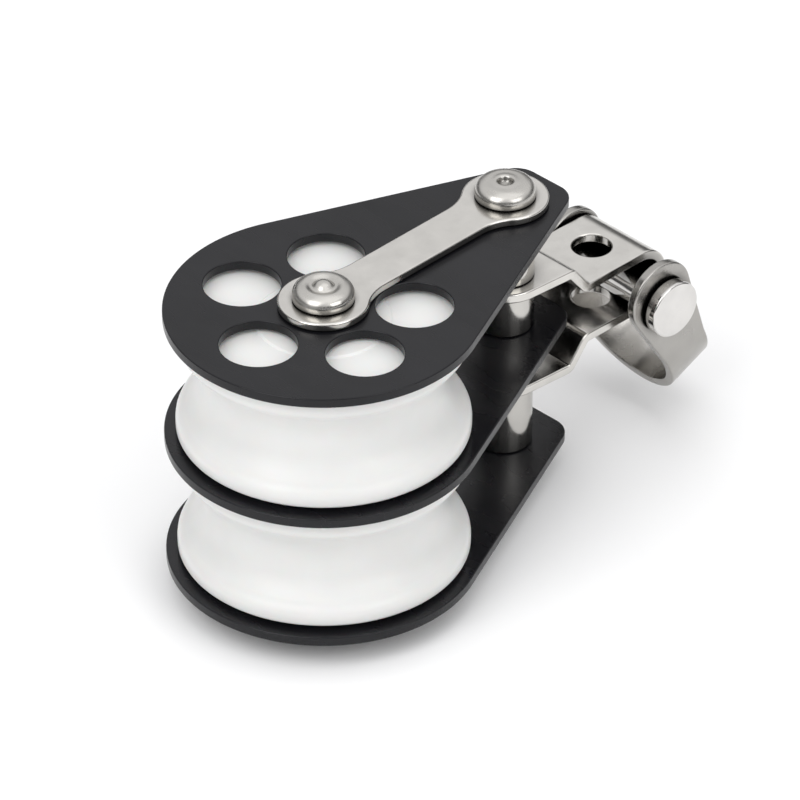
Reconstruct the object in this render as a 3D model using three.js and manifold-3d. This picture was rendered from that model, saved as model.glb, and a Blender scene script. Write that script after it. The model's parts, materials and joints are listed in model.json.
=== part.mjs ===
// Double sheave block with a front-and-side shackle, in millimetres.
//
// The axle stands on +Z through the origin, the head of the block points along +X, and the block
// stands on the flat crowns of its two lower rivet heads at z = 0.
import * as THREE from 'three';
import { mergeVertices } from 'three/addons/utils/BufferGeometryUtils.js';
import Module from 'manifold-3d';

const wasm = await Module();
wasm.setup();

// ---------------------------------------------------------------- driving dimensions

// Cheeks: three alike pear-shaped plates on the axle and the head post.
const cheekRadius = 38;
const cheekThickness = 2.6;
const cheekPitch = 34.45;
const headPostX = 61.6;
const headEndX = 76.3;
const headHalfWidth = 10.8;
const headCornerRadius = 6.3;
const holeRadius = 9.3;
const holeCircleRadius = 21.5;
const holeAngles = [43.3, 108.2, 180, -108.2, -43.3];

// Sheaves: turned acetal wheels with a raised hub and a round rope groove between broad lips.
const sheaveRadius = 35.2;
const sheaveWidth = 29.7;
const lipWidth = 4.1;
const lipChamfer = 0.6;
const grooveBottomRadius = 28.5;
const hubRadius = 16;
const hubRise = 0.4;
const bearingRadius = 8;
const bearingPlay = 0.25;

// Rivets, straps and post spacers: stainless steel.
const axleRadius = 4.76;
const postRadius = 4;
const boreClearance = 0.25;
const headRadius = 7.45;
const headHeight = 4.2;
const headShoulder = 2.6;
const crownRadius = 4.6;
const nubRadius = 2.6;
const nubHeight = 0.7;
const dishDepth = 0.35;
const dimpleRadius = 1.9;
const dimpleDepth = 0.8;
const strapThickness = 2.3;
const strapAxleEnd = 10.9;
const strapPostEnd = 10.6;
const strapHalfWidth = 5.9;
const strapFillet = 13;
const spacerRadius = 7.3;

// Tang: one strip of sheet bent in a U around the shackle pin, a joggled leg on each side.
// Its lengths are measured from the head post, and its heights from its own middle plane.
const tangThickness = 2.55;
const tangHalfWidth = 11.1;
const tangEyeRadius = 10.2;
const tangLift = 0.55;
const tangYaw = -1.2;
const tangBendX = 36.5;
const tangBendOuter = 8.7;
const joggleRise = 6.45;
const joggleStartX = 12.4;
const joggleEndX = 17.6;
const joggleRound = 1.8;
const sidePinHoleX = 30.2;
const sidePinHoleRadius = 4.9;

// Shackle and its pin: a wide strap bent in a bow, on a headed clevis pin with a split ring.
// Places along the pin are measured from the middle of the tang.
const pinRadius = 4.5;
const pinX = 36.4;
const pinDrop = 1.4;
const pinYaw = -2.1;
const pinHeadRadius = 7.35;
const pinHeadThickness = 3;
const pinHeadY = -23.7;
const pinTipY = 19.8;
const pinEdgeChamfer = 0.45;
const earNearY = -19.9;
const earFarY = 14.1;
const earRadius = 9.5;
const earSetback = 2.4;
const earHoleRadius = 4.85;
const bowThickness = 2.4;
const bowReach = 35.4;
const bowHalfWidth = 6.7;
const bowDroop = 25.2;
const ringHoleY = 16.9;
const ringHoleRadius = 1.6;
const ringRadius = 8;
const ringWireRadius = 0.65;

// Flat pieces in contact stand this far apart.
const seat = 0.1;

// ---------------------------------------------------------------- levels of the stack

const lowerStrapZ = headHeight;
const bottomCheekZ = lowerStrapZ + strapThickness;
const middleCheekZ = bottomCheekZ + cheekPitch;
const topCheekZ = middleCheekZ + cheekPitch;
const upperStrapZ = topCheekZ + cheekThickness;
const upperHeadZ = upperStrapZ + strapThickness;
const gapHeight = cheekPitch - cheekThickness;
const tangZ = middleCheekZ + cheekThickness / 2 + tangLift;
const legOuter = tangBendOuter + joggleRise;
const bowOuterWidth = earFarY - earNearY;

// ---------------------------------------------------------------- finishes

const finishes = {
  anodised: { color: 0x24242a, roughness: 0.5, metalness: 0.55 },
  acetal: { color: 0xf3f3ef, roughness: 0.35, metalness: 0 },
  stainless: { color: 0xc9c7c3, roughness: 0.22, metalness: 1 },
  bearing: { color: 0x9c9a94, roughness: 0.35, metalness: 1 },
};

// ---------------------------------------------------------------- outlines and solids

const radians = THREE.MathUtils.degToRad;

function arc(x, y, radius, from, to, steps) {
  const points = [];
  for (let step = 0; step <= steps; step += 1) {
    const angle = from + ((to - from) * step) / steps;
    points.push(new THREE.Vector2(x + radius * Math.cos(angle), y + radius * Math.sin(angle)));
  }
  return points;
}

function circleHole(x, y, radius, steps) {
  return new THREE.Path(arc(x, y, radius, 0, 2 * Math.PI, steps).slice(0, -1));
}

function extrude(shape, depth) {
  return new THREE.ExtrudeGeometry(shape, { depth, bevelEnabled: false });
}

// A solid of revolution about +Z; the profile holds [radius, height] pairs.
function turned(profile, steps) {
  const points = profile.map(([radius, height]) => new THREE.Vector2(radius, height));
  return new THREE.LatheGeometry(points, steps).rotateX(Math.PI / 2);
}

function tube(outer, inner, height, steps) {
  const shape = new THREE.Shape(arc(0, 0, outer, 0, 2 * Math.PI, steps).slice(0, -1));
  shape.holes.push(circleHole(0, 0, inner, steps));
  return extrude(shape, height);
}

// A strip of even thickness along a path, as a closed outline.
function ribbon(path, thickness) {
  const left = [];
  const right = [];
  path.forEach((point, index) => {
    const before = path[Math.max(index - 1, 0)];
    const after = path[Math.min(index + 1, path.length - 1)];
    const into = point.clone().sub(before).normalize();
    const out = after.clone().sub(point).normalize();
    const along = into.clone().add(out).normalize();
    const mitre = 1 / Math.max(along.dot(out), along.dot(into));
    const side = new THREE.Vector2(-along.y, along.x).multiplyScalar((mitre * thickness) / 2);
    left.push(point.clone().add(side));
    right.unshift(point.clone().sub(side));
  });
  return new THREE.Shape([...left, ...right]);
}

function toManifold(geometry) {
  const bare = geometry.clone();
  bare.deleteAttribute('normal');
  bare.deleteAttribute('uv');
  const merged = mergeVertices(bare, 1e-4);
  const vertProperties = new Float32Array(merged.attributes.position.array);
  const triVerts = new Uint32Array(merged.index.array);
  return new wasm.Manifold(new wasm.Mesh({ numProp: 3, vertProperties, triVerts }));
}

function toGeometry(manifold) {
  const mesh = manifold.getMesh();
  const geometry = new THREE.BufferGeometry();
  geometry.setAttribute('position', new THREE.BufferAttribute(mesh.vertProperties, 3));
  geometry.setIndex(new THREE.BufferAttribute(mesh.triVerts, 1));
  geometry.computeVertexNormals();
  return geometry;
}

// ---------------------------------------------------------------- cheeks

function cheek() {
  const cornerX = headEndX - headCornerRadius;
  const cornerY = headHalfWidth - headCornerRadius;
  const reach = Math.hypot(cornerX, cornerY);
  const lean = Math.atan2(cornerY, cornerX);
  const tangent = lean + Math.acos((cheekRadius - headCornerRadius) / reach);
  const outline = [
    ...arc(0, 0, cheekRadius, tangent, 2 * Math.PI - tangent, 44),
    ...arc(cornerX, -cornerY, headCornerRadius, -tangent, 0, 5),
    ...arc(cornerX, cornerY, headCornerRadius, 0, tangent, 5),
  ];
  const shape = new THREE.Shape(outline);
  shape.holes.push(circleHole(0, 0, axleRadius + boreClearance, 20));
  shape.holes.push(circleHole(headPostX, 0, postRadius + boreClearance, 20));
  holeAngles.forEach((degrees) => {
    const angle = radians(degrees);
    const x = holeCircleRadius * Math.cos(angle);
    const y = holeCircleRadius * Math.sin(angle);
    shape.holes.push(circleHole(x, y, holeRadius, 22));
  });
  return extrude(shape, cheekThickness - seat);
}

// ---------------------------------------------------------------- sheaves and their bearings

function sheave() {
  const halfWidth = sheaveWidth / 2;
  const halfHub = halfWidth + hubRise;
  const bore = bearingRadius + bearingPlay;
  const mouth = halfWidth - lipWidth;
  const depth = sheaveRadius - grooveBottomRadius;
  const grooveRadius = (mouth * mouth + depth * depth) / (2 * depth);
  const halfAngle = Math.asin(mouth / grooveRadius);
  const centre = grooveBottomRadius + grooveRadius;
  const groove = arc(centre, 0, grooveRadius, Math.PI + halfAngle, Math.PI - halfAngle, 8);
  const profile = [
    [bore, -halfHub],
    [hubRadius, -halfHub],
    [hubRadius, -halfWidth],
    [sheaveRadius - lipChamfer, -halfWidth],
    [sheaveRadius, lipChamfer - halfWidth],
    ...groove.map((point) => [point.x, point.y]),
    [sheaveRadius, halfWidth - lipChamfer],
    [sheaveRadius - lipChamfer, halfWidth],
    [hubRadius, halfWidth],
    [hubRadius, halfHub],
    [bore, halfHub],
    [bore, -halfHub],
  ];
  return turned(profile, 40);
}

function bearingSleeve() {
  return tube(bearingRadius, axleRadius + boreClearance, gapHeight - seat, 24);
}

// ---------------------------------------------------------------- rivets, straps and spacers

// Head profile from its rim inwards, for a head whose seat is at z = 0 and which rises along +Z.
function headProfile(centreProfile) {
  const skirt = headHeight - headShoulder - 0.3;
  const round = arc(headRadius - headShoulder, skirt, headShoulder, 0, radians(75), 4);
  return [[headRadius, 0], ...round.map((point) => [point.x, point.y]), ...centreProfile];
}

const flatCrown = [[crownRadius, headHeight], [0, headHeight]];

const nubbedCrown = [
  [crownRadius, headHeight - 0.15],
  [nubRadius * 1.2, headHeight - dishDepth],
  [nubRadius, headHeight - dishDepth * 0.6],
  [nubRadius * 0.6, headHeight + nubHeight * 0.65],
  [0, headHeight + nubHeight],
];

const dimpledCrown = [
  [crownRadius, headHeight - 0.1],
  [dimpleRadius, headHeight],
  [dimpleRadius * 0.75, headHeight - dimpleDepth * 0.6],
  [dimpleRadius * 0.4, headHeight - dimpleDepth],
  [0, headHeight - dimpleDepth],
];

function rivet(shankRadius, upperCrown) {
  const lower = headProfile(flatCrown).map(([radius, height]) => [radius, headHeight - height]);
  const upper = headProfile(upperCrown).map(([radius, height]) => [radius, upperHeadZ + height]);
  const shank = [[shankRadius, headHeight], [shankRadius, upperHeadZ]];
  return turned([...lower.reverse(), ...shank, ...upper], 24);
}

// Dog-bone strap: a round eye on each rivet, joined by a narrow shank with round inside corners.
function strap() {
  const corner = (eyeRadius) => {
    const reach = eyeRadius + strapFillet;
    const rise = strapHalfWidth + strapFillet;
    const run = Math.sqrt(reach * reach - rise * rise);
    return { run, rise, angle: Math.atan2(rise, run) };
  };
  const axle = corner(strapAxleEnd);
  const post = corner(strapPostEnd);
  const upperEdge = [
    ...arc(headPostX, 0, strapPostEnd, 0, Math.PI - post.angle, 8),
    ...arc(headPostX - post.run, post.rise, strapFillet, -post.angle, -Math.PI / 2, 4),
    ...arc(axle.run, axle.rise, strapFillet, -Math.PI / 2, axle.angle - Math.PI, 4),
    ...arc(0, 0, strapAxleEnd, axle.angle, Math.PI, 8),
  ];
  const lowerEdge = upperEdge.slice(1, -1).reverse().map((point) => new THREE.Vector2(point.x, -point.y));
  const shape = new THREE.Shape([...upperEdge, ...lowerEdge]);
  shape.holes.push(circleHole(0, 0, axleRadius + boreClearance, 20));
  shape.holes.push(circleHole(headPostX, 0, postRadius + boreClearance, 20));
  return extrude(shape, strapThickness - seat);
}

function spacer(bottom, top) {
  return tube(spacerRadius, postRadius + boreClearance, top - bottom - seat, 20)
    .translate(headPostX, 0, bottom + seat / 2);
}

// ---------------------------------------------------------------- tang

// Side view of the bent strip: upper leg, joggle, U bend, joggle and lower leg.
function tangPath() {
  const middle = tangBendOuter - tangThickness / 2;
  const leg = middle + joggleRise;
  const slope = Math.atan2(joggleRise, joggleEndX - joggleStartX);
  const setback = joggleRound * Math.tan(slope / 2);
  const corner = (x, z, turn) => {
    const startX = x - setback;
    return arc(startX, z - turn * joggleRound, joggleRound, (turn * Math.PI) / 2,
      turn * (Math.PI / 2 - slope), 3);
  };
  const upper = [
    new THREE.Vector2(-tangEyeRadius - 1, leg),
    ...corner(joggleStartX, leg, 1),
    ...corner(joggleEndX, middle, -1).reverse().map((point) => {
      return new THREE.Vector2(2 * joggleEndX - point.x, point.y);
    }),
  ];
  const lower = upper.map((point) => new THREE.Vector2(point.x, -point.y)).reverse();
  return [...upper, ...arc(tangBendX, 0, middle, Math.PI / 2, -Math.PI / 2, 14), ...lower];
}

// Plan of the strip: a round eye on the post, widening to the full width at the joggle.
function tangPlan() {
  const reach = Math.hypot(joggleStartX, tangHalfWidth);
  const lean = Math.atan2(tangHalfWidth, joggleStartX);
  const tangent = lean + Math.acos(tangEyeRadius / reach);
  const end = tangBendX + tangBendOuter + 1;
  return new THREE.Shape([
    ...arc(0, 0, tangEyeRadius, tangent, 2 * Math.PI - tangent, 16),
    new THREE.Vector2(joggleStartX, -tangHalfWidth),
    new THREE.Vector2(end, -tangHalfWidth),
    new THREE.Vector2(end, tangHalfWidth),
    new THREE.Vector2(joggleStartX, tangHalfWidth),
  ]);
}

function tang() {
  const strip = extrude(ribbon(tangPath(), tangThickness), 2 * tangHalfWidth + 2)
    .rotateX(Math.PI / 2)
    .translate(0, tangHalfWidth + 1, 0);
  const plan = extrude(tangPlan(), 2 * legOuter + 2).translate(0, 0, -legOuter - 1);
  const drill = (x, radius, steps) => {
    return toManifold(new THREE.CylinderGeometry(radius, radius, 2 * legOuter + 2, steps)
      .rotateX(Math.PI / 2)
      .translate(x, 0, 0));
  };
  const solid = toManifold(strip)
    .intersect(toManifold(plan))
    .subtract(drill(0, postRadius + boreClearance, 20))
    .subtract(drill(sidePinHoleX, sidePinHoleRadius, 22));
  return toGeometry(solid);
}

// ---------------------------------------------------------------- shackle, pin and ring

// The bow hangs along -Z from the pin axis; its ears reach past the pin by the setback.
function shackleBow() {
  const middle = (bowOuterWidth - bowThickness) / 2;
  const centre = (earNearY + earFarY) / 2;
  const bendZ = bowOuterWidth / 2 - bowReach;
  const earTop = earSetback + earRadius + 1;
  const path = [
    new THREE.Vector2(centre - middle, earTop),
    ...arc(centre, bendZ, middle, Math.PI, 2 * Math.PI, 20),
    new THREE.Vector2(centre + middle, earTop),
  ];
  const strip = extrude(ribbon(path, bowThickness), 2 * earRadius + 2)
    .rotateY(Math.PI / 2)
    .rotateX(Math.PI / 2)
    .translate(-earRadius - 1, 0, 0);
  const lean = Math.asin((earRadius - bowHalfWidth) / (earSetback - bendZ));
  const side = [
    ...arc(0, earSetback, earRadius, -lean, Math.PI + lean, 18),
    new THREE.Vector2(-bowHalfWidth, bendZ),
    new THREE.Vector2(-bowHalfWidth, -bowReach - 1),
    new THREE.Vector2(bowHalfWidth, -bowReach - 1),
    new THREE.Vector2(bowHalfWidth, bendZ),
  ];
  const plan = extrude(new THREE.Shape(side), bowOuterWidth + 2)
    .rotateX(Math.PI / 2)
    .translate(0, earFarY + 1, 0);
  const drill = new THREE.CylinderGeometry(earHoleRadius, earHoleRadius, bowOuterWidth + 4, 22)
    .translate(0, centre, 0);
  return toGeometry(toManifold(strip).intersect(toManifold(plan)).subtract(toManifold(drill)));
}

// The pin lies along +Y with its axis at the origin, ring hole across it along X.
function shacklePin() {
  const chamfer = pinEdgeChamfer;
  const headSeatY = pinHeadY + pinHeadThickness;
  const profile = [
    [0, pinHeadY],
    [pinHeadRadius - chamfer, pinHeadY],
    [pinHeadRadius, pinHeadY + chamfer],
    [pinHeadRadius, headSeatY - chamfer / 2],
    [pinHeadRadius - chamfer / 2, headSeatY],
    [pinRadius, headSeatY],
    [pinRadius, pinTipY - 2 * chamfer],
    [pinRadius - 2 * chamfer, pinTipY],
    [0, pinTipY],
  ];
  const body = turned(profile, 28).rotateX(-Math.PI / 2);
  const ringHole = new THREE.CylinderGeometry(ringHoleRadius, ringHoleRadius, 4 * pinRadius, 12)
    .rotateZ(Math.PI / 2)
    .translate(0, ringHoleY, 0);
  return toGeometry(toManifold(body).subtract(toManifold(ringHole)));
}

// ---------------------------------------------------------------- assembly

const block = new THREE.Group();

function add(parent, name, geometry, finish, x = 0, y = 0, z = 0) {
  const mesh = new THREE.Mesh(geometry, new THREE.MeshStandardMaterial(finishes[finish]));
  mesh.name = name;
  mesh.position.set(x, y, z);
  parent.add(mesh);
  return mesh;
}

const lift = seat / 2;
add(block, 'bottom_cheek', cheek(), 'anodised', 0, 0, bottomCheekZ + lift);
add(block, 'middle_cheek', cheek(), 'anodised', 0, 0, middleCheekZ + lift);
add(block, 'top_cheek', cheek(), 'anodised', 0, 0, topCheekZ + lift);

const lowerGapZ = bottomCheekZ + cheekThickness;
const upperGapZ = middleCheekZ + cheekThickness;
add(block, 'lower_sheave', sheave(), 'acetal', 0, 0, lowerGapZ + gapHeight / 2);
add(block, 'upper_sheave', sheave(), 'acetal', 0, 0, upperGapZ + gapHeight / 2);
add(block, 'lower_bearing_sleeve', bearingSleeve(), 'bearing', 0, 0, lowerGapZ + lift);
add(block, 'upper_bearing_sleeve', bearingSleeve(), 'bearing', 0, 0, upperGapZ + lift);

add(block, 'axle_rivet', rivet(axleRadius, nubbedCrown), 'stainless');
add(block, 'head_post_rivet', rivet(postRadius, dimpledCrown), 'stainless', headPostX);
add(block, 'bottom_strap', strap(), 'stainless', 0, 0, lowerStrapZ + lift);
add(block, 'top_strap', strap(), 'stainless', 0, 0, upperStrapZ + lift);

const legSpan = legOuter - tangThickness;
add(block, 'top_spacer', spacer(tangZ + legOuter, topCheekZ), 'stainless');
add(block, 'upper_middle_spacer', spacer(upperGapZ, tangZ + legSpan), 'stainless');
add(block, 'lower_middle_spacer', spacer(tangZ - legSpan, middleCheekZ), 'stainless');
add(block, 'bottom_spacer', spacer(lowerGapZ, tangZ - legOuter), 'stainless');

const tangAxis = new THREE.Group();
tangAxis.position.set(headPostX, 0, tangZ);
tangAxis.rotation.z = radians(tangYaw);
block.add(tangAxis);
add(tangAxis, 'tang', tang(), 'stainless');

const pinAxis = new THREE.Group();
pinAxis.position.set(pinX, 0, -pinDrop);
pinAxis.rotation.z = radians(pinYaw);
tangAxis.add(pinAxis);
add(pinAxis, 'shackle_pin', shacklePin(), 'stainless');
const bow = add(pinAxis, 'shackle_bow', shackleBow(), 'stainless');
bow.rotation.y = -radians(bowDroop);

// The ring hangs through the cross hole, where its own curve shares the hole's clearance.
const ringGeometry = new THREE.TorusGeometry(ringRadius, ringWireRadius, 7, 28);
const ringSag = ringRadius - Math.sqrt(ringRadius ** 2 - pinRadius ** 2);
const ring = add(pinAxis, 'split_ring', ringGeometry, 'stainless', 0, ringHoleY, ringSag / 2 - ringRadius);
ring.rotation.x = Math.PI / 2;

export default block;
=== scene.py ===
import json
import math

import bmesh
import bpy
from mathutils import Matrix, Vector


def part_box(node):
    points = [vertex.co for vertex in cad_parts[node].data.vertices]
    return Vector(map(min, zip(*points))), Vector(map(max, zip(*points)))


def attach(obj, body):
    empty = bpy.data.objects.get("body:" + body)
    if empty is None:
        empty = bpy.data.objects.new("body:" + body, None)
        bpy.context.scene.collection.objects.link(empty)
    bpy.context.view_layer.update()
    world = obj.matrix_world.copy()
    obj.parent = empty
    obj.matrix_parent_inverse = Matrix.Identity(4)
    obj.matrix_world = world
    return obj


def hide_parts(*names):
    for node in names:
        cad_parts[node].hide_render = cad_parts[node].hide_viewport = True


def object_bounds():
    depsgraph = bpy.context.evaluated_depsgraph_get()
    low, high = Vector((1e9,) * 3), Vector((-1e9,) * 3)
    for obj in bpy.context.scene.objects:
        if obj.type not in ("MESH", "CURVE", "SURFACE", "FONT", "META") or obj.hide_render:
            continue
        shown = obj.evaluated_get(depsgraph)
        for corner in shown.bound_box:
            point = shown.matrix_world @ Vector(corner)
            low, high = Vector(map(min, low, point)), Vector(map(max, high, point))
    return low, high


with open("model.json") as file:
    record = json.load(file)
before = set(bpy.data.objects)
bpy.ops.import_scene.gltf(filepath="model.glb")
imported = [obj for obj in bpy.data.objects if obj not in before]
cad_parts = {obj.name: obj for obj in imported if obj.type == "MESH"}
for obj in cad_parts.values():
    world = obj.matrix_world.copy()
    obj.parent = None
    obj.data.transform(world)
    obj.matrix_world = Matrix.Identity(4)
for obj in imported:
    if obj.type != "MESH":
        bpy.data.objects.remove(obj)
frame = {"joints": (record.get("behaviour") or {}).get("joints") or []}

# Double sheave block with a bow shackle. Meshes are made in millimetres and scaled to metres once,
# in the CAD's frame: the axle stands on +Z through the origin and the head points along +X.

cad_bounds = [list(corner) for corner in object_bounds()]

MM = 0.001
TURN = 2 * math.pi
QUARTER = math.pi / 2
ON_AXIS = 1e-6
SAME_PLACE = 1e-4
SHARPEST_MITRE = 0.5

# ------------------------------------------------------------------ dimensions, in millimetres

HEAD_POST_X = 61.6
HEAD_END_X = 76.3
HEAD_HALF_WIDTH = 10.8
HEAD_CORNER = 6.3
HOLE_RADIUS = 9.3
HOLE_CIRCLE = 21.5
HOLE_ANGLES = (43.3, 108.2, 180, -108.2, -43.3)
CHEEK_EDGE = 0.32

SHEAVE_RADIUS = 35.2
SHEAVE_EDGE = 0.8
LIP_WIDTH = 4.1
LIP_ROUND = 3.4
LIP_ROUND_SHARE = 1.15
GROOVE_BOTTOM = 28.5
HUB_RADIUS = 16
HUB_RISE = 0.4
HUB_STEP = 0.5
HUB_ROUND = 0.3
SHEAVE_BORE = 8.25
SLEEVE_RADIUS = 8
TOOL_MARK_PITCH = 0.45

AXLE_RADIUS = 4.76
POST_RADIUS = 4
BORE_CLEARANCE = 0.25
HEAD_RADIUS = 7.45
HEAD_HEIGHT = 4.2
HEAD_SHOULDER = 2.6
HEAD_SKIRT = 1.3
HEAD_FOOT_ROUND = 0.35
HEAD_FOOT_MIDDLE = (0.1, 0.12)
HEAD_GAP = 0.05
NUB_RISE = 0.69
DIMPLE_DEPTH = 1.85
STRAP_AXLE_END = 10.9
STRAP_POST_END = 10.6
STRAP_HALF_WIDTH = 5.9
STRAP_FILLET = 13
STRAP_EDGE = 0.55
SPACER_RADIUS = 7.3
TUBE_BORE_ROUND = 0.2
SLEEVE_ROUND = 0.3
SPACER_ROUND = 0.35

TANG_THICKNESS = 2.55
TANG_HALF_WIDTH = 11.1
TANG_EYE = 10.2
TANG_BEND_X = 36.5
TANG_BEND_OUTER = 8.7
TANG_EDGE = 0.5
JOGGLE_RISE = 6.45
JOGGLE_START = 12.4
JOGGLE_END = 17.6
JOGGLE_ROUND = 1.8
SIDE_HOLE_X = 30.2
SIDE_HOLE_RADIUS = 4.9

PIN_RADIUS = 4.5
PIN_HEAD_RADIUS = 7.35
PIN_HEAD_THICKNESS = 3
PIN_HEAD_Y = -23.7
PIN_TIP_Y = 19.8
PIN_TIP_CHAMFER = 0.9
PIN_TIP_ROUND = 0.3
PIN_FACE_ROUND = 0.5
PIN_SEAT_ROUND = 0.25
EAR_NEAR_Y = -19.9
EAR_FAR_Y = 14.1
EAR_RADIUS = 9.5
EAR_SETBACK = 2.4
EAR_HOLE = 4.85
BOW_THICKNESS = 2.4
BOW_REACH = 35.4
BOW_HALF_WIDTH = 6.7
BOW_DROOP = 25.2
BOW_EDGE = 0.5
RING_HOLE_Y = 16.9
RING_HOLE_RADIUS = 1.6
RING_RADIUS = 8
RING_WIRE = 0.65
RING_WIRE_GAP = 0.02
RING_TURNS = 2
RING_CROSSING = 1 / 3
RING_START = -0.35 * math.pi

# ------------------------------------------------------------------ places, from the frame


def levels(node):
    """The heights of a node's underside and top."""
    low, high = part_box(node)
    return low.z / MM, high.z / MM


joints = {joint["name"]: joint for joint in frame["joints"]}
tang_centre = Vector(joints["tang_swing"]["pos_m"]) / MM
pin_centre = Vector(joints["shackle_swing"]["pos_m"]) / MM
pin_along = -Vector(joints["shackle_swing"]["axis"])
tang_yaw = math.atan2(pin_centre.y - tang_centre.y, pin_centre.x - tang_centre.x)
pin_yaw = math.atan2(-pin_along.x, pin_along.y)
cheek_low, cheek_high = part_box("top_cheek")
cheek_radius = (cheek_high.y - cheek_low.y) / 2 / MM

# ------------------------------------------------------------------ materials

BLACK_DARK = (0.0065, 0.0065, 0.008)
BLACK_LIGHT = (0.0095, 0.0095, 0.0115)
WHITE_DARK = (0.705, 0.705, 0.692)
WHITE_LIGHT = (0.745, 0.745, 0.732)
STRIP_STEEL = (0.66, 0.642, 0.61)
SPACER_STEEL = (0.6, 0.585, 0.555)
PIN_STEEL = (0.71, 0.695, 0.675)
BOW_STEEL = (0.4, 0.388, 0.368)
RIVET_STEEL = (0.55, 0.535, 0.505)
SLEEVE_STEEL = (0.6, 0.59, 0.58)
FLOOR_DARK = (0.955, 0.955, 0.955)
FLOOR_LIGHT = (0.97, 0.97, 0.97)
CREVICE_REACH = 12


def new_material(name):
    material = bpy.data.materials.new(name)
    material.use_nodes = True
    nodes = material.node_tree.nodes
    return material, nodes, material.node_tree.links, nodes["Principled BSDF"]


def noise(nodes, links, where, scale, detail=2.0, stretch=(1, 1, 1)):
    """A noise pattern; the scale counts features per metre."""
    mapping = nodes.new("ShaderNodeMapping")
    mapping.inputs["Scale"].default_value = stretch
    links.new(where, mapping.inputs["Vector"])
    texture = nodes.new("ShaderNodeTexNoise")
    texture.inputs["Scale"].default_value = scale
    texture.inputs["Detail"].default_value = detail
    links.new(mapping.outputs["Vector"], texture.inputs["Vector"])
    return texture.outputs["Fac"]


def spread(nodes, links, value, low, high):
    """Maps the middle of a 0 to 1 pattern on low to high."""
    remap = nodes.new("ShaderNodeMapRange")
    remap.inputs["From Min"].default_value = 0.3
    remap.inputs["From Max"].default_value = 0.7
    remap.inputs["To Min"].default_value = low
    remap.inputs["To Max"].default_value = high
    links.new(value, remap.inputs["Value"])
    return remap.outputs["Result"]


def tint(nodes, links, value, dark, light):
    """A colour between two, by the middle of a 0 to 1 pattern."""
    ramp = nodes.new("ShaderNodeValToRGB")
    ramp.color_ramp.elements[0].position = 0.3
    ramp.color_ramp.elements[0].color = (*dark, 1)
    ramp.color_ramp.elements[1].position = 0.7
    ramp.color_ramp.elements[1].color = (*light, 1)
    links.new(value, ramp.inputs["Fac"])
    return ramp.outputs["Color"]


def bump(nodes, links, height, shader, distance, strength):
    """Relief in the shading; the distance is in metres."""
    node = nodes.new("ShaderNodeBump")
    node.inputs["Strength"].default_value = strength
    node.inputs["Distance"].default_value = distance
    links.new(height, node.inputs["Height"])
    links.new(node.outputs["Normal"], shader.inputs["Normal"])


def shade_corners(nodes, links, colour, distance):
    """The colour with painted shade: darker in corners and crevices, where polished steel mirrors only dark
    steel.
    """
    # painted shade: ambient occlusion scales the base colour down to a tenth in tight corners
    corners = nodes.new("ShaderNodeAmbientOcclusion")
    corners.inputs["Distance"].default_value = distance
    depth = nodes.new("ShaderNodeMapRange")
    depth.inputs["From Min"].default_value = 0.3
    depth.inputs["From Max"].default_value = 0.82
    depth.inputs["To Min"].default_value = 0.1
    depth.inputs["To Max"].default_value = 1.0
    links.new(corners.outputs["AO"], depth.inputs["Value"])
    darker = nodes.new("ShaderNodeVectorMath")
    darker.operation = "SCALE"
    links.new(colour, darker.inputs[0])
    links.new(depth.outputs["Result"], darker.inputs["Scale"])
    return darker.outputs["Vector"]


def anodised():
    """Black satin anodised aluminium: a fine etched grain, and patches a little lighter."""
    material, nodes, links, shader = new_material("anodised_aluminium")
    where = nodes.new("ShaderNodeTexCoord").outputs["Object"]
    shader.inputs["Metallic"].default_value = 0.1
    shader.inputs["Specular IOR Level"].default_value = 0.31
    patches = noise(nodes, links, where, 55, 3)
    links.new(tint(nodes, links, patches, BLACK_DARK, BLACK_LIGHT), shader.inputs["Base Color"])
    smears = noise(nodes, links, where, 140, 4, (1, 0.35, 1))
    links.new(spread(nodes, links, smears, 0.22, 0.32), shader.inputs["Roughness"])
    grain = noise(nodes, links, where, 5200, 1)
    bump(nodes, links, grain, shader, 0.000012, 0.5)
    return material


def acetal():
    """White acetal, turned: faint tool marks round the axle and a soft sheen."""
    material, nodes, links, shader = new_material("white_acetal")
    where = nodes.new("ShaderNodeTexCoord").outputs["Object"]
    shader.inputs["Specular IOR Level"].default_value = 0.45
    shader.inputs["Subsurface Weight"].default_value = 0.12
    shader.inputs["Subsurface Scale"].default_value = 0.0015
    patches = noise(nodes, links, where, 45, 3)
    links.new(tint(nodes, links, patches, WHITE_DARK, WHITE_LIGHT), shader.inputs["Base Color"])
    smears = noise(nodes, links, where, 220, 3, (1, 1, 2.5))
    links.new(spread(nodes, links, smears, 0.3, 0.42), shader.inputs["Roughness"])

    parts = nodes.new("ShaderNodeSeparateXYZ")
    links.new(where, parts.inputs["Vector"])
    flat = nodes.new("ShaderNodeCombineXYZ")
    links.new(parts.outputs["X"], flat.inputs["X"])
    links.new(parts.outputs["Y"], flat.inputs["Y"])
    radius = nodes.new("ShaderNodeVectorMath")
    radius.operation = "LENGTH"
    links.new(flat.outputs["Vector"], radius.inputs[0])
    along = nodes.new("ShaderNodeMath")
    along.operation = "ADD"
    links.new(radius.outputs["Value"], along.inputs[0])
    links.new(parts.outputs["Z"], along.inputs[1])
    pitch = nodes.new("ShaderNodeMath")
    pitch.operation = "MULTIPLY"
    pitch.inputs[1].default_value = TURN / (TOOL_MARK_PITCH * MM)
    links.new(along.outputs["Value"], pitch.inputs[0])
    marks = nodes.new("ShaderNodeMath")
    marks.operation = "SINE"
    links.new(pitch.outputs["Value"], marks.inputs[0])
    bump(nodes, links, marks.outputs["Value"], shader, 0.0000025, 0.35)
    return material


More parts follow.
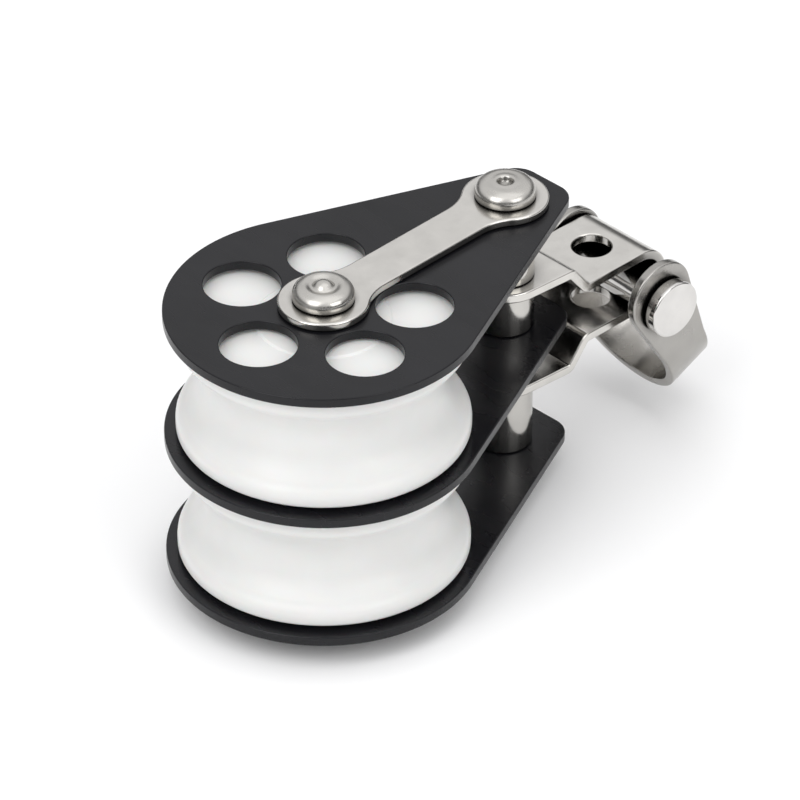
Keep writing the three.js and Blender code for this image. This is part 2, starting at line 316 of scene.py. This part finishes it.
def stainless(name, colour, smooth, rough, stretch, scratch):
    """Steel with uneven polish between two roughnesses, hairline scratches stretched one way, and painted
    shade in its corners.
    """
    material, nodes, links, shader = new_material(name)
    where = nodes.new("ShaderNodeTexCoord").outputs["Object"]
    shader.inputs["Metallic"].default_value = 1.0
    patches = noise(nodes, links, where, 190, 6)
    dark = tuple(channel * 0.9 for channel in colour)
    polished = tint(nodes, links, patches, dark, colour)
    # painted shade: the steel's colour is darkened in corners and crevices within CREVICE_REACH
    links.new(shade_corners(nodes, links, polished, CREVICE_REACH * MM), shader.inputs["Base Color"])
    polish = noise(nodes, links, where, 180, 4)
    links.new(spread(nodes, links, polish, smooth, rough), shader.inputs["Roughness"])
    hairlines = noise(nodes, links, where, 900, 3, stretch)
    bump(nodes, links, hairlines, shader, scratch, 0.4)
    return material


black = anodised()
white = acetal()
steel = stainless("polished_stainless", STRIP_STEEL, 0.12, 0.24, (0.12, 2.5, 1), 0.000012)
turned_steel = stainless("turned_stainless", SPACER_STEEL, 0.1, 0.2, (0.3, 0.3, 4), 0.000008)
bright_steel = stainless("bright_stainless", PIN_STEEL, 0.07, 0.13, (1, 1, 1), 0.000006)
brushed_steel = stainless("brushed_stainless", BOW_STEEL, 0.16, 0.3, (2.5, 2.5, 0.3), 0.00002)
satin_steel = stainless("satin_stainless", RIVET_STEEL, 0.2, 0.36, (1, 1, 1), 0.00004)
ground_steel = stainless("bearing_steel", SLEEVE_STEEL, 0.22, 0.32, (0.3, 0.3, 4), 0.00001)

# ------------------------------------------------------------------ outlines


def arc(x, y, radius, start, end, steps):
    points = []
    for step in range(steps + 1):
        angle = start + (end - start) * step / steps
        points.append(Vector((x + radius * math.cos(angle), y + radius * math.sin(angle))))
    return points


def circle(x, y, radius, steps=72):
    return arc(x, y, radius, 0, TURN, steps)[:-1]


def rounded(corners):
    """A profile from (radius, height, fillet) corners, with its fillets as arcs."""
    points = []
    for index, (x, y, fillet) in enumerate(corners):
        here = Vector((x, y))
        if fillet == 0:
            points.append(here)
            continue
        before = Vector(corners[index - 1][:2]) - here
        after = Vector(corners[(index + 1) % len(corners)][:2]) - here
        half = before.angle(after) / 2
        first = here + before.normalized() * fillet / math.tan(half)
        inwards = (before.normalized() + after.normalized()).normalized()
        centre = here + inwards * fillet / math.sin(half)
        sweep = math.pi - 2 * half
        side = before.x * after.y - before.y * after.x
        turn = -sweep if side > 0 else sweep
        steps = max(2, math.ceil(sweep / math.radians(15)))
        for step in range(steps + 1):
            spin = Matrix.Rotation(turn * step / steps, 2)
            points.append(centre + spin @ (first - centre))
    return points


def offset(loop, distance):
    """A closed anticlockwise loop, moved outwards."""
    moved = []
    for before, here, after in zip(loop[-1:] + loop[:-1], loop, loop[1:] + loop[:1]):
        into = (here - before).normalized()
        out = (after - here).normalized()
        along = (into + out).normalized()
        mitre = distance / max(along.dot(out), SHARPEST_MITRE)
        moved.append(here + mitre * Vector((along.y, -along.x)))
    return moved


# ------------------------------------------------------------------ meshes


def plate(outline, holes, bottom, top, edge):
    """A flat plate with holes, its edges rounded all the way round."""
    mesh = bmesh.new()
    steps = 5
    bend = [QUARTER * step / steps for step in range(steps + 1)]
    fillet = [(edge * (1 - math.sin(angle)), edge * (1 - math.cos(angle))) for angle in bend]
    rounds = [(inset, bottom + rise) for inset, rise in fillet]
    rounds += [(inset, top - rise) for inset, rise in reversed(fillet)]
    caps = {"bottom": [], "top": []}
    for loop, inwards in [(outline, -1)] + [(hole, 1) for hole in holes]:
        rings = []
        for inset, height in rounds:
            ring = [mesh.verts.new((p.x, p.y, height)) for p in offset(loop, inwards * inset)]
            rings.append(ring)
        for lower, upper in zip(rings, rings[1:]):
            for index in range(len(loop)):
                following = (index + 1) % len(loop)
                mesh.faces.new((lower[index], lower[following], upper[following], upper[index]))
        for name, ring in (("bottom", rings[0]), ("top", rings[-1])):
            for index in range(len(loop)):
                edge_between = mesh.edges.get((ring[index], ring[(index + 1) % len(loop)]))
                caps[name].append(edge_between)
    for edges in caps.values():
        bmesh.ops.triangle_fill(mesh, edges=edges, use_beauty=True, use_dissolve=False)
    bmesh.ops.recalc_face_normals(mesh, faces=mesh.faces)
    return mesh


def lathe(profile, steps=128):
    """A solid of revolution about Z; an open profile starts and ends on the axis."""
    mesh = bmesh.new()
    closed = profile[0].x > ON_AXIS
    columns = []
    for point in profile:
        if point.x <= ON_AXIS:
            columns.append([mesh.verts.new((0, 0, point.y))] * steps)
            continue
        ring = []
        for step in range(steps):
            angle = TURN * step / steps
            place = (point.x * math.cos(angle), point.x * math.sin(angle), point.y)
            ring.append(mesh.verts.new(place))
        columns.append(ring)
    pairs = list(zip(columns, columns[1:]))
    if closed:
        pairs.append((columns[-1], columns[0]))
    for lower, upper in pairs:
        for step in range(steps):
            after = (step + 1) % steps
            corners = []
            for vertex in (lower[step], lower[after], upper[after], upper[step]):
                if vertex not in corners:
                    corners.append(vertex)
            mesh.faces.new(corners)
    bmesh.ops.recalc_face_normals(mesh, faces=mesh.faces)
    return mesh


def along(leg, run):
    """The place and heading after a run along one leg of a track."""
    begin, kind, size, origin, heading = leg
    if kind == "straight":
        return origin + run * Vector((math.cos(heading), math.sin(heading))), heading
    radius, angle = size
    side = math.copysign(1, angle)
    centre = origin + radius * side * Vector((-math.sin(heading), math.cos(heading)))
    spin = side * run / radius
    return centre + Matrix.Rotation(spin, 2) @ (origin - centre), heading + spin


def track(segments, start, heading):
    """Straight and turning legs, end to end, as (begin, kind, size, origin, heading), and their length."""
    legs = []
    place = Vector(start)
    distance = 0
    for kind, *size in segments:
        legs.append((distance, kind, size, place, heading))
        run = size[0] if kind == "straight" else size[0] * abs(size[1])
        place, heading = along(legs[-1], run)
        distance += run
    return legs, distance


def on_track(legs, distance):
    """The place and heading at a distance along the whole track."""
    leg = legs[0]
    for following in legs:
        if distance >= following[0]:
            leg = following
    return along(leg, distance - leg[0])


def bent_plate(outline, holes, thickness, edge, legs):
    """A plate whose X runs along the track, its curved stretches cut fine and then bent."""
    mesh = plate(outline, holes, -thickness / 2, thickness / 2, edge)
    for begin, kind, size, origin, heading in legs:
        if kind == "straight":
            continue
        radius, angle = size
        pieces = max(4, math.ceil(abs(angle) / math.radians(6)))
        for piece in range(pieces + 1):
            where = begin + radius * abs(angle) * piece / pieces
            geometry = mesh.verts[:] + mesh.edges[:] + mesh.faces[:]
            bmesh.ops.bisect_plane(mesh, geom=geometry, plane_co=(where, 0, 0),
                                   plane_no=(1, 0, 0), dist=SAME_PLACE)
    for vertex in mesh.verts:
        place, heading = on_track(legs, vertex.co.x)
        side = Vector((-math.sin(heading), math.cos(heading)))
        place = place + vertex.co.z * side
        vertex.co = Vector((place.x, vertex.co.y, place.y))
    bmesh.ops.recalc_face_normals(mesh, faces=mesh.faces)
    return mesh


def sweep_wire(path, section):
    """A wire of a given section along a path of (centre, outwards, upwards) frames, with flat ends."""
    mesh = bmesh.new()
    rings = []
    for centre, outwards, upwards in path:
        rings.append([mesh.verts.new(centre + outwards * a + upwards * b) for a, b in section])
    for ring, following in zip(rings, rings[1:]):
        for index in range(len(section)):
            after = (index + 1) % len(section)
            mesh.faces.new((ring[index], ring[after], following[after], following[index]))
    mesh.faces.new(rings[0])
    mesh.faces.new(rings[-1])
    bmesh.ops.recalc_face_normals(mesh, faces=mesh.faces)
    return mesh


def weigh_normals(piece):
    """Shades flat faces flat and rounded edges round."""
    weighted = piece.modifiers.new("weighted_normals", "WEIGHTED_NORMAL")
    weighted.keep_sharp = True


def place_piece(name, mesh, material, body, node, matrix=None):
    """Turns a mesh in millimetres into a piece that stands for a CAD node."""
    if matrix is not None:
        mesh.transform(matrix)
    mesh.transform(Matrix.Scale(MM, 4))
    bmesh.ops.recalc_face_normals(mesh, faces=mesh.faces)
    data = bpy.data.meshes.new(name)
    mesh.to_mesh(data)
    mesh.free()
    for polygon in data.polygons:
        polygon.use_smooth = True
    data.materials.append(material)
    piece = bpy.data.objects.new(name, data)
    bpy.context.scene.collection.objects.link(piece)
    weigh_normals(piece)
    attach(piece, body)
    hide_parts(node)
    return piece


# ------------------------------------------------------------------ cheeks and straps


def cheek_outline():
    corner_x = HEAD_END_X - HEAD_CORNER
    corner_y = HEAD_HALF_WIDTH - HEAD_CORNER
    reach = math.hypot(corner_x, corner_y)
    tangent = math.atan2(corner_y, corner_x) + math.acos((cheek_radius - HEAD_CORNER) / reach)
    return (
        arc(0, 0, cheek_radius, tangent, TURN - tangent, 180)
        + arc(corner_x, -corner_y, HEAD_CORNER, -tangent, 0, 16)
        + arc(corner_x, corner_y, HEAD_CORNER, 0, tangent, 16)
    )


def rivet_holes():
    return [
        circle(0, 0, AXLE_RADIUS + BORE_CLEARANCE),
        circle(HEAD_POST_X, 0, POST_RADIUS + BORE_CLEARANCE),
    ]


def make_cheek(node):
    bottom, top = levels(node)
    holes = rivet_holes()
    for degrees in HOLE_ANGLES:
        angle = math.radians(degrees)
        x = HOLE_CIRCLE * math.cos(angle)
        y = HOLE_CIRCLE * math.sin(angle)
        holes.append(circle(x, y, HOLE_RADIUS, 96))
    mesh = plate(cheek_outline(), holes, bottom, top, CHEEK_EDGE)
    place_piece(node + "_plate", mesh, black, "block_frame", node)


def strap_outline():
    def corner(eye):
        """Where the fillet beside an eye has its centre, and at what angle the two meet."""
        reach = eye + STRAP_FILLET
        rise = STRAP_HALF_WIDTH + STRAP_FILLET
        run = math.sqrt(reach * reach - rise * rise)
        return run, rise, math.atan2(rise, run)

    axle_run, rise, axle_angle = corner(STRAP_AXLE_END)
    post_run, rise, post_angle = corner(STRAP_POST_END)
    upper = (
        arc(HEAD_POST_X, 0, STRAP_POST_END, 0, math.pi - post_angle, 40)
        + arc(HEAD_POST_X - post_run, rise, STRAP_FILLET, -post_angle, -QUARTER, 14)
        + arc(axle_run, rise, STRAP_FILLET, -QUARTER, axle_angle - math.pi, 14)
        + arc(0, 0, STRAP_AXLE_END, axle_angle, math.pi, 40)
    )
    # neighbouring arcs share their end points
    distinct = [upper[0]]
    for point in upper[1:]:
        if (point - distinct[-1]).length > SAME_PLACE:
            distinct.append(point)
    lower = [Vector((point.x, -point.y)) for point in reversed(distinct[1:-1])]
    return distinct + lower


def make_strap(node):
    bottom, top = levels(node)
    mesh = plate(strap_outline(), rivet_holes(), bottom, top, STRAP_EDGE)
    place_piece(node + "_plate", mesh, steel, "block_frame", node)


for level in ("bottom", "middle", "top"):
    make_cheek(level + "_cheek")
for level in ("bottom", "top"):
    make_strap(level + "_strap")

# ------------------------------------------------------------------ sheaves and sleeves


def sheave_profile(low, high):
    middle = (low + high) / 2
    half_hub = (high - low) / 2
    half_width = half_hub - HUB_RISE
    mouth = half_width - LIP_WIDTH
    depth = SHEAVE_RADIUS - GROOVE_BOTTOM
    groove_radius = (mouth * mouth + depth * depth) / (2 * depth)
    spread_angle = math.asin(mouth / groove_radius)
    centre = GROOVE_BOTTOM + groove_radius
    wall = LIP_ROUND * math.tan(spread_angle / 2)
    cut = LIP_ROUND_SHARE * wall / groove_radius
    groove = arc(centre, middle, groove_radius, math.pi + spread_angle - cut,
                 math.pi - spread_angle + cut, 48)
    lower_side = rounded([
        (groove[-1].x, 2 * middle - groove[-1].y, 0),
        (SHEAVE_BORE, middle - half_hub, HUB_ROUND),
        (HUB_RADIUS, middle - half_hub, HUB_ROUND),
        (HUB_RADIUS + HUB_STEP, middle - half_width, HUB_ROUND),
        (SHEAVE_RADIUS, middle - half_width, SHEAVE_EDGE),
        (SHEAVE_RADIUS, middle - mouth, LIP_ROUND),
        (groove[0].x, groove[0].y, 0),
    ])[1:-1]
    upper_side = [Vector((point.x, 2 * middle - point.y)) for point in reversed(lower_side)]
    return lower_side + groove + upper_side


def make_sheave(node):
    low, high = levels(node)
    wheel = lathe(sheave_profile(low, high), 192)
    place_piece(node + "_wheel", wheel, white, node, node)


def make_tube(node, bore, radius, edge, material, x=0):
    low, high = levels(node)
    tube = lathe(rounded([
        (bore, low, TUBE_BORE_ROUND),
        (radius, low, edge),
        (radius, high, edge),
        (bore, high, TUBE_BORE_ROUND),
    ]))
    place_piece(node + "_tube", tube, material, "block_frame", node, Matrix.Translation((x, 0, 0)))


for level in ("lower", "upper"):
    make_sheave(level + "_sheave")
    make_tube(level + "_bearing_sleeve", AXLE_RADIUS + BORE_CLEARANCE, SLEEVE_RADIUS, SLEEVE_ROUND,
              ground_steel)

# ------------------------------------------------------------------ rivets and spacers


def head_profile(crown):
    """A rivet head from its foot to its axis; the crown's points are (radius, height above its top)."""
    foot = [
        Vector((HEAD_RADIUS - HEAD_FOOT_ROUND, 0)),
        Vector((HEAD_RADIUS - HEAD_FOOT_MIDDLE[0], HEAD_FOOT_MIDDLE[1])),
        Vector((HEAD_RADIUS, HEAD_FOOT_ROUND)),
    ]
    shoulder = arc(HEAD_RADIUS - HEAD_SHOULDER, HEAD_SKIRT, HEAD_SHOULDER, 0, math.radians(70), 16)
    return foot + shoulder + [Vector((radius, HEAD_HEIGHT + rise)) for radius, rise in crown]


FLAT_CROWN = ((5.4, -0.16), (4.9, -0.04), (4.5, 0), (0, 0))
NUBBED_CROWN = (
    (5.1, -0.23), (4.6, -0.17), (4.1, -0.27), (3.6, -0.52), (3.2, -0.72), (2.85, -0.76), (2.5, -0.58),
    (2.15, -0.22), (1.8, 0.14), (1.4, 0.43), (0.9, 0.62), (0.4, NUB_RISE), (0, NUB_RISE),
)
DIMPLED_CROWN = (
    (5.1, -0.22), (4.5, -0.15), (3.9, -0.17), (3.3, -0.13), (2.8, -0.03), (2.4, 0), (2.05, -0.08),
    (1.85, -0.35), (1.7, -0.9), (1.45, -1.4), (1.0, -1.7), (0.5, -1.82), (0, -DIMPLE_DEPTH),
)


def make_rivet(node, shank, upper_crown, x):
    seat = levels("top_strap")[1] + HEAD_GAP
    lower = [Vector((point.x, HEAD_HEIGHT - point.y)) for point in head_profile(FLAT_CROWN)]
    upper = [Vector((point.x, seat + point.y)) for point in head_profile(upper_crown)]
    mesh = lathe(lower[::-1] + [Vector((shank, HEAD_HEIGHT)), Vector((shank, seat))] + upper)
    place_piece(node + "_turned", mesh, satin_steel, "block_frame", node,
                Matrix.Translation((x, 0, 0)))


make_rivet("axle_rivet", AXLE_RADIUS, NUBBED_CROWN, 0)
make_rivet("head_post_rivet", POST_RADIUS, DIMPLED_CROWN, HEAD_POST_X)

for level in ("bottom", "lower_middle", "upper_middle", "top"):
    make_tube(level + "_spacer", POST_RADIUS + BORE_CLEARANCE, SPACER_RADIUS, SPACER_ROUND,
              turned_steel, HEAD_POST_X)

# ------------------------------------------------------------------ tang


def make_tang():
    middle = TANG_BEND_OUTER - TANG_THICKNESS / 2
    leg = middle + JOGGLE_RISE
    slope = math.atan2(JOGGLE_RISE, JOGGLE_END - JOGGLE_START)
    setback = JOGGLE_ROUND * math.tan(slope / 2)
    slant = math.hypot(JOGGLE_RISE, JOGGLE_END - JOGGLE_START) - 2 * setback
    inner_run = TANG_BEND_X - JOGGLE_END - setback
    down = [
        ("straight", JOGGLE_START - setback),
        ("turn", JOGGLE_ROUND, -slope),
        ("straight", slant),
        ("turn", JOGGLE_ROUND, slope),
        ("straight", inner_run),
    ]
    back = [(kind, *size) for kind, *size in reversed(down)]
    legs, length = track(down + [("turn", middle, -math.pi)] + back, (0, leg), 0)
    reach = math.hypot(JOGGLE_START, TANG_HALF_WIDTH)
    tangent = math.atan2(TANG_HALF_WIDTH, JOGGLE_START) + math.acos(TANG_EYE / reach)
    outline = (
        arc(0, 0, TANG_EYE, tangent, TURN - tangent, 56)
        + [Vector((JOGGLE_START, -TANG_HALF_WIDTH)), Vector((length - JOGGLE_START, -TANG_HALF_WIDTH))]
        + arc(length, 0, TANG_EYE, tangent - math.pi, math.pi - tangent, 56)
        + [Vector((length - JOGGLE_START, TANG_HALF_WIDTH)), Vector((JOGGLE_START, TANG_HALF_WIDTH))]
    )
    side_hole = JOGGLE_START - setback + 2 * JOGGLE_ROUND * slope + slant
    side_hole += SIDE_HOLE_X - JOGGLE_END - setback
    holes = [
        circle(0, 0, POST_RADIUS + BORE_CLEARANCE),
        circle(length, 0, POST_RADIUS + BORE_CLEARANCE),
        circle(side_hole, 0, SIDE_HOLE_RADIUS, 88),
        circle(length - side_hole, 0, SIDE_HOLE_RADIUS, 88),
    ]
    mesh = bent_plate(outline, holes, TANG_THICKNESS, TANG_EDGE, legs)
    matrix = Matrix.Translation(tang_centre) @ Matrix.Rotation(tang_yaw, 4, "Z")
    place_piece("tang_strip", mesh, steel, "tang", "tang", matrix)


make_tang()

# ------------------------------------------------------------------ shackle, pin and ring

pin_matrix = Matrix.Translation(pin_centre) @ Matrix.Rotation(pin_yaw, 4, "Z")


def make_bow():
    width = EAR_FAR_Y - EAR_NEAR_Y
    middle = (width - BOW_THICKNESS) / 2
    centre = (EAR_NEAR_Y + EAR_FAR_Y) / 2
    drop = BOW_REACH - width / 2
    segments = [("straight", drop), ("turn", middle, math.pi), ("straight", drop)]
    legs, length = track(segments, (centre - middle, 0), -QUARTER)
    lean = math.asin((EAR_RADIUS - BOW_HALF_WIDTH) / (EAR_SETBACK + drop))
    outline = (
        arc(-EAR_SETBACK, 0, EAR_RADIUS, QUARTER - lean, 3 * QUARTER + lean, 64)
        + [Vector((drop, -BOW_HALF_WIDTH)), Vector((length - drop, -BOW_HALF_WIDTH))]
        + arc(length + EAR_SETBACK, 0, EAR_RADIUS, -QUARTER - lean, QUARTER + lean, 64)
        + [Vector((length - drop, BOW_HALF_WIDTH)), Vector((drop, BOW_HALF_WIDTH))]
    )
    holes = [circle(0, 0, EAR_HOLE, 80), circle(length, 0, EAR_HOLE, 80)]
    mesh = bent_plate(outline, holes, BOW_THICKNESS, BOW_EDGE, legs)
    # the track lies in X and Z with the strip's width on Y: swapping X and Y runs it along the pin
    to_pin = Matrix(((0, 1, 0, 0), (1, 0, 0, 0), (0, 0, 1, 0), (0, 0, 0, 1)))
    matrix = pin_matrix @ Matrix.Rotation(math.radians(-BOW_DROOP), 4, "Y") @ to_pin
    place_piece("shackle_bow_strip", mesh, brushed_steel,
                "shackle", "shackle_bow", matrix)


def make_pin():
    seat = PIN_HEAD_Y + PIN_HEAD_THICKNESS
    profile = rounded([
        (0, PIN_HEAD_Y, 0),
        (PIN_HEAD_RADIUS, PIN_HEAD_Y, PIN_FACE_ROUND),
        (PIN_HEAD_RADIUS, seat, PIN_SEAT_ROUND),
        (PIN_RADIUS, seat, 0),
        (PIN_RADIUS, PIN_TIP_Y - PIN_TIP_CHAMFER, PIN_TIP_ROUND),
        (PIN_RADIUS - PIN_TIP_CHAMFER, PIN_TIP_Y, PIN_TIP_ROUND),
        (0, PIN_TIP_Y, 0),
    ])
    along_y = Matrix.Rotation(-QUARTER, 4, "X")
    pin = place_piece("shackle_pin_turned", lathe(profile), bright_steel,
                      "shackle_pin", "shackle_pin", pin_matrix @ along_y)
    drill_ring_hole(pin)


def drill_ring_hole(pin):
    """Cuts the ring's cross hole; the boolean is applied, so the tool can go."""
    reach = 2 * PIN_RADIUS
    corners = ((0, -reach), (RING_HOLE_RADIUS, -reach), (RING_HOLE_RADIUS, reach), (0, reach))
    drill = lathe([Vector(corner) for corner in corners], 48)
    drill.transform(pin_matrix @ Matrix.Translation((0, RING_HOLE_Y, 0)) @ Matrix.Rotation(QUARTER, 4, "Y"))
    drill.transform(Matrix.Scale(MM, 4))
    data = bpy.data.meshes.new("drill")
    drill.to_mesh(data)
    drill.free()
    tool = bpy.data.objects.new("drill", data)
    bpy.context.scene.collection.objects.link(tool)
    cut = pin.modifiers.new("ring_hole", "BOOLEAN")
    cut.object = tool
    cut.solver = "EXACT"
    bpy.context.view_layer.update()
    evaluated = pin.evaluated_get(bpy.context.evaluated_depsgraph_get())
    drilled = bpy.data.meshes.new_from_object(evaluated)
    pin.modifiers.clear()
    pin.data = drilled
    weigh_normals(pin)
    bpy.data.objects.remove(tool)


def make_ring():
    """Two turns of flattened wire side by side, crossing over half way, as a split ring's do."""
    low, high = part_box("split_ring")
    centre_z = (low.z + high.z) / 2 / MM - pin_centre.z
    steps = 96 * RING_TURNS
    half_width = RING_WIRE / 2 - RING_WIRE_GAP
    half_depth = RING_WIRE - 1.5 * RING_WIRE_GAP
    sides = 12
    section = []
    for side in range(sides):
        angle = TURN * side / sides
        section.append((half_depth * math.cos(angle), half_width * math.sin(angle)))
    path = []
    for step in range(steps + 1):
        share = step / steps
        angle = TURN * RING_TURNS * share + RING_START
        outwards = Vector((math.cos(angle), 0, math.sin(angle)))
        shift = RING_WIRE / 2 * max(-1, min(1, (share - 0.5) * 2 / RING_CROSSING))
        centre = Vector((0, RING_HOLE_Y + shift, centre_z)) + RING_RADIUS * outwards
        path.append((centre, outwards, Vector((0, 1, 0))))
    place_piece("split_ring_wire", sweep_wire(path, section), steel,
                "ring", "split_ring", pin_matrix)


make_bow()
make_pin()
make_ring()

# ------------------------------------------------------------------ floor, light and camera, in metres

FLOOR_HALF_WIDTH = 3.0
FLOOR_GAP = 0.0002
# the room's grey by height, from the horizon to straight up
ROOM_STOPS = ((0.0, 0.1), (0.28, 0.2), (0.46, 1.0), (0.7, 1.05), (1.0, 1.0))
ROOM_STRENGTH = 0.93
CAMERA_TARGET = Vector((0.026266, 0.00044, 0.037668))
CAMERA_AZIMUTH = -45.599
CAMERA_ELEVATION = 35.213
CAMERA_ROLL = 0.181
CAMERA_DISTANCE = 1.8599
# the lens and the sensor's width are in millimetres
CAMERA_LENS = 348.83
CAMERA_SENSOR = 36


def make_floor():
    material, nodes, links, shader = new_material("pale_floor")
    where = nodes.new("ShaderNodeTexCoord").outputs["Object"]
    mottle = noise(nodes, links, where, 12, 2)
    links.new(tint(nodes, links, mottle, FLOOR_DARK, FLOOR_LIGHT), shader.inputs["Base Color"])
    shader.inputs["Roughness"].default_value = 0.7
    mesh = bmesh.new()
    reach = FLOOR_HALF_WIDTH
    corners = ((-reach, -reach, 0), (reach, -reach, 0), (reach, reach, 0), (-reach, reach, 0))
    mesh.faces.new([mesh.verts.new(corner) for corner in corners])
    data = bpy.data.meshes.new("floor")
    mesh.to_mesh(data)
    mesh.free()
    data.materials.append(material)
    floor = bpy.data.objects.new("floor", data)
    floor.location.z = cad_bounds[0][2] - FLOOR_GAP
    bpy.context.scene.collection.objects.link(floor)


def make_world():
    """A pale room: bright overhead and dark low down, so that steel has something to reflect."""
    world = bpy.data.worlds.new("studio")
    bpy.context.scene.world = world
    world.use_nodes = True
    nodes = world.node_tree.nodes
    links = world.node_tree.links
    where = nodes.new("ShaderNodeTexCoord")
    parts = nodes.new("ShaderNodeSeparateXYZ")
    links.new(where.outputs["Generated"], parts.inputs["Vector"])
    ramp = nodes.new("ShaderNodeValToRGB")
    while len(ramp.color_ramp.elements) < len(ROOM_STOPS):
        ramp.color_ramp.elements.new(0.5)
    for element, (height, grey) in zip(ramp.color_ramp.elements, ROOM_STOPS):
        element.position = height
        element.color = (grey, grey, grey * 1.01, 1)
    links.new(parts.outputs["Z"], ramp.inputs["Fac"])
    background = nodes["Background"]
    background.inputs["Strength"].default_value = ROOM_STRENGTH
    links.new(ramp.outputs["Color"], background.inputs["Color"])
    # the backdrop itself, where the camera sees past the floor, is plain and pale
    backdrop = nodes.new("ShaderNodeBackground")
    backdrop.inputs["Color"].default_value = (1, 1, 1, 1)
    seen = nodes.new("ShaderNodeLightPath")
    mix = nodes.new("ShaderNodeMixShader")
    links.new(seen.outputs["Is Camera Ray"], mix.inputs["Fac"])
    links.new(background.outputs["Background"], mix.inputs[1])
    links.new(backdrop.outputs["Background"], mix.inputs[2])
    links.new(mix.outputs["Shader"], nodes["World Output"].inputs["Surface"])


def direction(azimuth, elevation):
    """The unit vector towards a viewer: azimuth 0 is the -Y side, and 90 the +X side."""
    azimuth = math.radians(azimuth)
    elevation = math.radians(elevation)
    return Vector((
        math.sin(azimuth) * math.cos(elevation),
        -math.cos(azimuth) * math.cos(elevation),
        math.sin(elevation),
    ))


def make_light(name, azimuth, elevation, distance, size, power):
    """An area light round the middle of the block, turned to face it."""
    low, high = (Vector(corner) for corner in cad_bounds)
    middle = (low + high) / 2
    back = direction(azimuth, elevation)
    data = bpy.data.lights.new(name, "AREA")
    data.shape = "RECTANGLE"
    data.size, data.size_y = size
    data.energy = power
    light = bpy.data.objects.new(name, data)
    light.location = middle + back * distance
    light.rotation_mode = "QUATERNION"
    light.rotation_quaternion = (-back).to_track_quat("-Z", "Y")
    bpy.context.scene.collection.objects.link(light)


def make_camera():
    azimuth = math.radians(CAMERA_AZIMUTH)
    roll = math.radians(CAMERA_ROLL)
    back = direction(CAMERA_AZIMUTH, CAMERA_ELEVATION)
    level = Vector((math.cos(azimuth), math.sin(azimuth), 0))
    upright = back.cross(level)
    right = math.cos(roll) * level + math.sin(roll) * upright
    up = -math.sin(roll) * level + math.cos(roll) * upright
    data = bpy.data.cameras.new("camera")
    data.lens = CAMERA_LENS
    data.sensor_width = CAMERA_SENSOR
    data.clip_end = 20
    camera = bpy.data.objects.new("camera", data)
    turn = Matrix((right, up, back)).transposed().to_4x4()
    camera.matrix_world = Matrix.Translation(CAMERA_TARGET + back * CAMERA_DISTANCE) @ turn
    bpy.context.scene.collection.objects.link(camera)
    bpy.context.scene.camera = camera


make_floor()
make_world()
make_light("overhead", azimuth=20, elevation=80, distance=0.9, size=(0.9, 0.9), power=1.3)
make_light("key", azimuth=-85, elevation=40, distance=0.9, size=(0.5, 0.7), power=2.8)
make_light("fill", azimuth=0, elevation=30, distance=1.0, size=(0.6, 0.5), power=1.9)
make_camera()
bpy.context.scene.view_settings.view_transform = "Standard"
